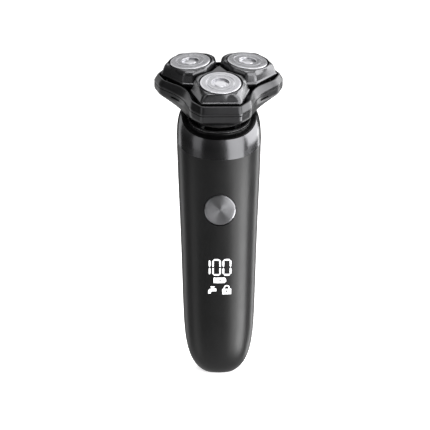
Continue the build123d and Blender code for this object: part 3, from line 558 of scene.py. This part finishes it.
def lobed_outline(outline, inset=0.0):
    """Three-lobed outline with its corners rounded, moved inwards by the inset."""
    flat_u, flat_v, shoulder_u, shoulder_v, valley = outline
    sixty = math.radians(60)
    one_lobe = [(shoulder_u, -shoulder_v), (flat_u, -flat_v), (flat_u, flat_v),
                (shoulder_u, shoulder_v), on_circle(valley, sixty)]
    corners = []
    for degrees in sorted(LOBES):
        for u, v in one_lobe:
            reach = math.hypot(u, v) - inset
            angle = math.atan2(v, u) + math.radians(degrees)
            corners.append(on_circle(reach, angle))
    return rounded(corners, CORNER_ROUND * 3, run=0.5)


def lobed_radii(outline, inset=0.02):
    return radii_about(lobed_outline(outline, inset), (0, 0), HEAD_COUNT)


def ring_shell(paths, reaches, fill):
    """Closed shell whose softened wall follows one path of (radius, height) per angle."""
    return swept([soften([Vector(point) for point in path], reaches, fill)
                  for path in paths])


def cut(piece, cutters):
    """Takes the cutters out of a piece's mesh and removes them."""
    for number, tool in enumerate(cutters):
        step = piece.modifiers.new(f"cut_{number}", "BOOLEAN")
        step.operation, step.solver, step.object = "DIFFERENCE", "EXACT", tool
    view = bpy.context.evaluated_depsgraph_get()
    mesh = bpy.data.meshes.new_from_object(piece.evaluated_get(view))
    piece.modifiers.clear()
    piece.data = mesh
    for tool in cutters:
        bpy.data.objects.remove(tool)


def cutting_tool(name, points, faces, place):
    made = link_object(name, mesh_of(name, points, faces))
    made.matrix_world = place
    return made


def prism(outline, low, high):
    """Points and faces of an outline raised from one level to another."""
    count = len(outline)
    points = [(x, y, z) for z in (low, high) for x, y in outline]
    faces = [(j, (j + 1) % count, count + (j + 1) % count, count + j) for j in range(count)]
    faces += [tuple(reversed(range(count))), tuple(range(count, 2 * count))]
    return points, faces


def make_housing():
    """Lower head shell with its rinse slits."""
    low, wide = lobed_radii(OUTLINE_LOW), lobed_radii(OUTLINE_WIDE)
    low_in = lobed_radii(OUTLINE_LOW, HEAD_WALL)
    wide_in = lobed_radii(OUTLINE_WIDE, HEAD_WALL)
    paths = [[(BOOT_OPENING, HOUSING_LOW), (a, HOUSING_LOW), (b, HOUSING_KNEE),
              (b, SEAM_LOW), (d, SEAM_LOW), (d, HOUSING_KNEE_INSIDE),
              (max(c, BOOT_OPENING + 0.25), HOUSING_FLOOR), (BOOT_OPENING, HOUSING_FLOOR)]
             for a, b, c, d in zip(low, wide, low_in, wide_in)]
    points, faces = ring_shell(paths, (0.5, 1.3, 0.16, 0.1, 0.8, 0.1), 6)
    piece = make_piece("head_shell", points, faces, "head_base", "head_housing", HEAD,
                       baked=True)
    slits = []
    along, across, level = SLIT_PLACE
    for degrees, side in SLIT_LOBES:
        outline = []
        for end, start_angle in ((1, -90), (-1, 90)):
            for step in range(ARC_STEPS + 1):
                angle = math.radians(start_angle + 180 * step / ARC_STEPS)
                x, y = on_circle(SLIT_HALF_WIDTH, angle)
                outline.append((end * SLIT_REACH + x, y))
        points, faces = prism(outline, -3, 3)
        place = (HEAD @ turn(degrees + side * 60, "Z") @ shift(along, -side * across, level)
                 @ turn(side * SLIT_LEAN, "Z") @ turn(90, "Z") @ turn(90, "X"))
        slits.append(cutting_tool("slit", points, faces, place))
    cut(piece, slits)


def make_frame_rim():
    """Bevelled rim of the pull-off blade frame."""
    wide, top = lobed_radii(OUTLINE_WIDE), lobed_radii(OUTLINE_TOP)
    wide_in = lobed_radii(OUTLINE_WIDE, HEAD_WALL)
    top_in = lobed_radii(OUTLINE_TOP, RIM_WALL)
    paths = [[(c, SEAM_HIGH), (a, SEAM_HIGH), (a, BEVEL_LOW), (b, FRAME_TOP),
              (d, FRAME_TOP), (d, BEVEL_LOW), (min(c, d + 0.1), BEVEL_LOW - 0.1)]
             for a, b, c, d in zip(wide, top, wide_in, top_in)]
    points, faces = ring_shell(paths, (0.15, 0.6, 0.5, 0.15, 0.1), 6)
    make_piece("frame_rim", points, faces, "shaving_head", "blade_frame", HEAD, baked=True)


def make_frame_deck():
    """Deck of the blade frame, with an opening under each pod."""
    outline = [tuple(point) for point in lobed_outline(OUTLINE_WIDE, HEAD_WALL - 0.2)]
    points, faces = prism(outline, DECK_LOW, BEVEL_LOW)
    deck = make_piece("frame_deck", points, faces, "shaving_head", "blade_frame", HEAD,
                      baked=True)
    circle = [on_circle(HOLE_RADIUS, angle_of(i, HOLE_COUNT)) for i in range(HOLE_COUNT)]
    holes = []
    for degrees in LOBES:
        points, faces = prism(circle, DECK_LOW - 1.5, BEVEL_LOW + 1.5)
        place = HEAD @ turn(degrees, "Z") @ shift(HOLE_REACH, 0, 0)
        holes.append(cutting_tool("hole", points, faces, place))
    cut(deck, holes)


def make_frame_lugs():
    """Two lugs per pod that carry the pod's tilt pins."""
    radii = radii_about(rounded(LUG_OUTLINE, LUG_ROUND, run=0.3), (0, 0), LUG_COUNT)
    bore = [LUG_BORE] * LUG_COUNT
    points, faces = [], []
    for degrees in LOBES:
        spin = turn(degrees, "Z")
        for middle in (-LUG_MIDDLE, LUG_MIDDLE):
            rings = []
            for reaches, v in ((radii, -LUG_HALF), (radii, LUG_HALF), (bore, LUG_HALF),
                               (bore, -LUG_HALF)):
                ring = []
                for j, reach in enumerate(reaches):
                    x, z = on_circle(reach, angle_of(j, LUG_COUNT))
                    ring.append(tuple(spin @ Vector((LUG_U + x, middle + v, LUG_W + z))))
                rings.append(ring)
            more, quads = join_rings(rings, closed=True)
            faces += [tuple(i + len(points) for i in quad) for quad in quads]
            points += more
    make_piece("frame_lugs", points, faces, "shaving_head", "blade_frame", HEAD, baked=True)


# ---- cutter caps -----------------------------------------------------------------------
CAP_CELLS = 270
# Tracks of slots as (inner radius, cells from slot to slot, cells in a slot).
TRACKS = ((4.85, 5, 2), (7.5, 3, 1))
SLOT_DEPTH = 0.5
CAP_TOP, CAP_BOTTOM = -0.4, -1.4        # the two centre points
# (radius, height) from the centre over the top and the flange to the underside.
CAP_PROFILE = [
    (1.2, -0.41), (2.2, -0.47), (2.8, -0.56), (3.02, -0.7), (3.1, -0.9), (3.12, -1.05),
    (4.3, -1.05), (4.36, -0.9), (4.38, -0.2), (4.44, -0.06), (4.6, 0.0), (4.85, 0.0),
    (6.55, 0.0), (6.75, 0.0), (6.84, -0.06), (6.86, -0.34), (7.14, -0.34), (7.16, -0.06),
    (7.25, 0.0), (7.5, 0.0), (9.6, 0.0), (9.95, 0.0), (10.15, -0.04), (10.3, -0.13),
    (10.37, -0.26), (10.4, -0.42), (10.4, -2.95), (10.5, -3.0), (11.7, -3.0),
    (11.7, -3.6), (9.9, -3.6), (9.9, -0.56), (4.62, -0.56), (4.62, -1.4),
]


def make_cap(number):
    """Outer cutter cap with two tracks of slots and a recessed middle."""
    points, faces, found = [], [], {}

    def vertex(ring, cell, low):
        key = (ring, cell % CAP_CELLS, low)
        if key not in found:
            r, z = CAP_PROFILE[ring]
            found[key] = len(points)
            points.append((*on_circle(r, angle_of(cell, CAP_CELLS)),
                           z - (SLOT_DEPTH if low else 0.0)))
        return found[key]

    radii = [r for r, _ in CAP_PROFILE]
    slotted = {radii.index(r): (period, width) for r, period, width in TRACKS}
    for ring in range(len(CAP_PROFILE) - 1):
        period, width = slotted.get(ring, (1, 0))
        for cell in range(CAP_CELLS):
            low = cell % period < width
            a, b = vertex(ring, cell, low), vertex(ring, cell + 1, low)
            c, d = vertex(ring + 1, cell + 1, low), vertex(ring + 1, cell, low)
            faces.append((a, b, c, d))
            if not low:
                continue
            tops = [vertex(ring + dr, cell + dc, False)
                    for dr, dc in ((0, 0), (0, 1), (1, 1), (1, 0))]
            faces.append((a, b, tops[1], tops[0]))
            faces.append((c, d, tops[3], tops[2]))
            if cell % period == 0:
                faces.append((d, a, tops[0], tops[3]))
            if cell % period == width - 1:
                faces.append((b, c, tops[2], tops[1]))
    end = len(CAP_PROFILE) - 1
    top, bottom = len(points), len(points) + 1
    points.extend([(0, 0, CAP_TOP), (0, 0, CAP_BOTTOM)])
    for cell in range(CAP_CELLS):
        faces.append((top, vertex(0, cell, False), vertex(0, cell + 1, False)))
        faces.append((bottom, vertex(end, cell, False), vertex(end, cell + 1, False)))
    make_piece(f"cap_{number + 1}", points, faces, f"cap_body_{number + 1}",
               f"cutter_cap_{number + 1}", climbing(cutter(number)), crease=42)


# ---- power key -------------------------------------------------------------------------
KEY_BACK, KEY_STEM = -1.8, 2.2
KEY_COUNT = 128


def make_key():
    """Spun metal key: very flat cone, polished bevel and the stem behind."""
    low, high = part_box("power_button")
    radius = (high.x - low.x) / 2 / MM
    depth = (high.y - low.y) / MM
    profile = [(0, 0), (0.4, -0.01), (2.5, -0.1), (5.0, -0.21), (radius - 0.75, -0.32),
               (radius - 0.62, -0.34), (radius - 0.5, -0.37), (radius - 0.12, -0.62),
               (radius, -0.78), (radius, KEY_BACK + 0.08), (radius - 0.1, KEY_BACK),
               (KEY_STEM, KEY_BACK), (KEY_STEM, -depth + 0.1), (KEY_STEM - 0.1, -depth),
               (0, -depth)]
    points, faces = turned(profile, KEY_COUNT)
    middle = (low.x + high.x) / 2, low.y, (low.z + high.z) / 2
    place = Matrix.Translation(Vector(middle)) @ turn(90, "X")
    make_piece("power_key", points, faces, "button", "power_button", place, crease=30)


for index in range(3):
    make_pod(index)
    make_cap(index)
make_key()
make_housing()
make_frame_rim()
make_frame_deck()
make_frame_lugs()


# ---- studio ----------------------------------------------------------------------------
FLOOR_REACH, FLOOR_COUNT = 14.0, 96     # metres and corners
FLOOR_GLOW = 0.75
LIGHT_TARGET = Vector((0, 0, 0.09))
# Name, azimuth and elevation (deg), distance, width, height (m), brightness.
LIGHTS = (
    ("band_right", 34, 14, 1.0, 0.78, 0.86, 3.3),
    ("patch_right", 98, 26, 1.0, 1.25, 1.0, 4.8),
    ("handle_key", 64, -24, 1.0, 0.46, 0.54, 8.5),
    ("handle_fade", 40, -25, 1.0, 0.46, 0.54, 3.4),
    ("handle_edge", 130, -14, 1.0, 0.30, 0.8, 3.2),
    ("collar_left", -48, 14, 1.0, 0.46, 0.6, 0.85),
    ("side_left", -70, -26, 1.0, 0.45, 0.6, 0.7),
    ("edge_left", -132, 0, 1.0, 0.40, 1.0, 1.0),
    ("overhead", 180, 62, 1.1, 1.1, 0.8, 1.3),
    ("front_top", 0, 62, 1.1, 0.9, 0.35, 6.0),
)
# Grey of the surroundings from straight down (0) to straight up (1).
SKY = ((0.0, 0.6), (0.16, 0.6), (0.30, 0.34), (0.42, 0.1), (0.5, 0.06), (0.7, 0.12),
       (1.0, 0.5))
CAMERA_AZIMUTH, CAMERA_ELEVATION, CAMERA_DISTANCE = -2.0, 12.0, 1.0
CAMERA_TARGET = Vector((-0.002, 0, 0.0831))
CAMERA_LENS, CAMERA_SENSOR = 161.0, 36.0


def make_floor():
    mesh = bpy.data.meshes.new("floor")
    points = [(0, 0, 0)] + [(*on_circle(FLOOR_REACH, angle_of(i, FLOOR_COUNT)), 0)
                            for i in range(FLOOR_COUNT)]
    mesh.from_pydata(points, [], [(0, 1 + i, 1 + (i + 1) % FLOOR_COUNT)
                                  for i in range(FLOOR_COUNT)])
    floor = link_object("floor", mesh)
    material, tree, shader = new_material("floor")
    noise = add(tree, "ShaderNodeTexNoise", Scale=6.0, Detail=3.0)
    link = tree.links.new
    link(add(tree, "ShaderNodeTexCoord").outputs["Object"], noise.inputs["Vector"])
    link(spread(tree, noise.outputs["Fac"], 0.72, 0.78), shader.inputs["Roughness"])
    shader.inputs["Base Color"].default_value = (0.9, 0.9, 0.9, 1)
    shader.inputs["Specular IOR Level"].default_value = 0.1
    shader.inputs["Emission Color"].default_value = (1, 1, 1, 1)
    shader.inputs["Emission Strength"].default_value = FLOOR_GLOW
    mesh.materials.append(material)
    floor.visible_glossy = False
    floor.visible_shadow = False


def aim(item, target, away, distance):
    """Puts a light or a camera at a distance from its target, facing it."""
    item.location = target + away * distance
    item.rotation_mode = "QUATERNION"
    item.rotation_quaternion = away.to_track_quat("Z", "Y")


def softbox(name, azimuth, elevation, distance, width, height, brightness):
    """Rectangular light aimed at the object."""
    data = bpy.data.lights.new(name, "AREA")
    data.shape = "RECTANGLE"
    data.size, data.size_y = width, height
    data.energy = brightness * math.pi * width * height
    lamp = link_object(name, data)
    aim(lamp, LIGHT_TARGET, direction(azimuth, elevation), distance)
    lamp.visible_camera = False


def make_surroundings():
    """Soft grey surroundings for the reflections, and plain white behind the object."""
    world = bpy.data.worlds.new("studio")
    world.use_nodes = True
    tree = world.node_tree
    link = tree.links.new
    around = tree.nodes["Background"]
    heights = add(tree, "ShaderNodeSeparateXYZ")
    link(add(tree, "ShaderNodeTexCoord").outputs["Generated"], heights.inputs["Vector"])
    level = spread(tree, heights.outputs["Z"], 0.0, 1.0, -1.0, 1.0)
    ramp = add(tree, "ShaderNodeValToRGB")
    stops = ramp.color_ramp.elements
    (_, floor_grey), *between, (_, ceiling_grey) = SKY
    stops[0].color = (floor_grey, floor_grey, floor_grey, 1)
    stops[1].color = (ceiling_grey, ceiling_grey, ceiling_grey, 1)
    for position, value in between:
        stops.new(position).color = (value, value, value, 1)
    link(level, ramp.inputs["Fac"])
    link(ramp.outputs["Color"], around.inputs["Color"])
    seen = add(tree, "ShaderNodeBackground")
    seen.inputs["Color"].default_value = (1, 1, 1, 1)
    path = add(tree, "ShaderNodeLightPath")
    mix = add(tree, "ShaderNodeMixShader")
    link(path.outputs["Is Camera Ray"], mix.inputs["Fac"])
    link(around.outputs["Background"], mix.inputs[1])
    link(seen.outputs["Background"], mix.inputs[2])
    link(mix.outputs["Shader"], tree.nodes["World Output"].inputs["Surface"])
    bpy.context.scene.world = world
    bpy.context.scene.view_settings.view_transform = "Standard"


def make_camera():
    data = bpy.data.cameras.new("camera")
    data.lens, data.sensor_width = CAMERA_LENS, CAMERA_SENSOR
    camera = link_object("camera", data)
    aim(camera, CAMERA_TARGET, direction(CAMERA_AZIMUTH, CAMERA_ELEVATION),
             CAMERA_DISTANCE)
    data.clip_start, data.clip_end = 0.05, 60
    bpy.context.scene.camera = camera


make_floor()
for light in LIGHTS:
    softbox(*light)
make_surroundings()
make_camera()
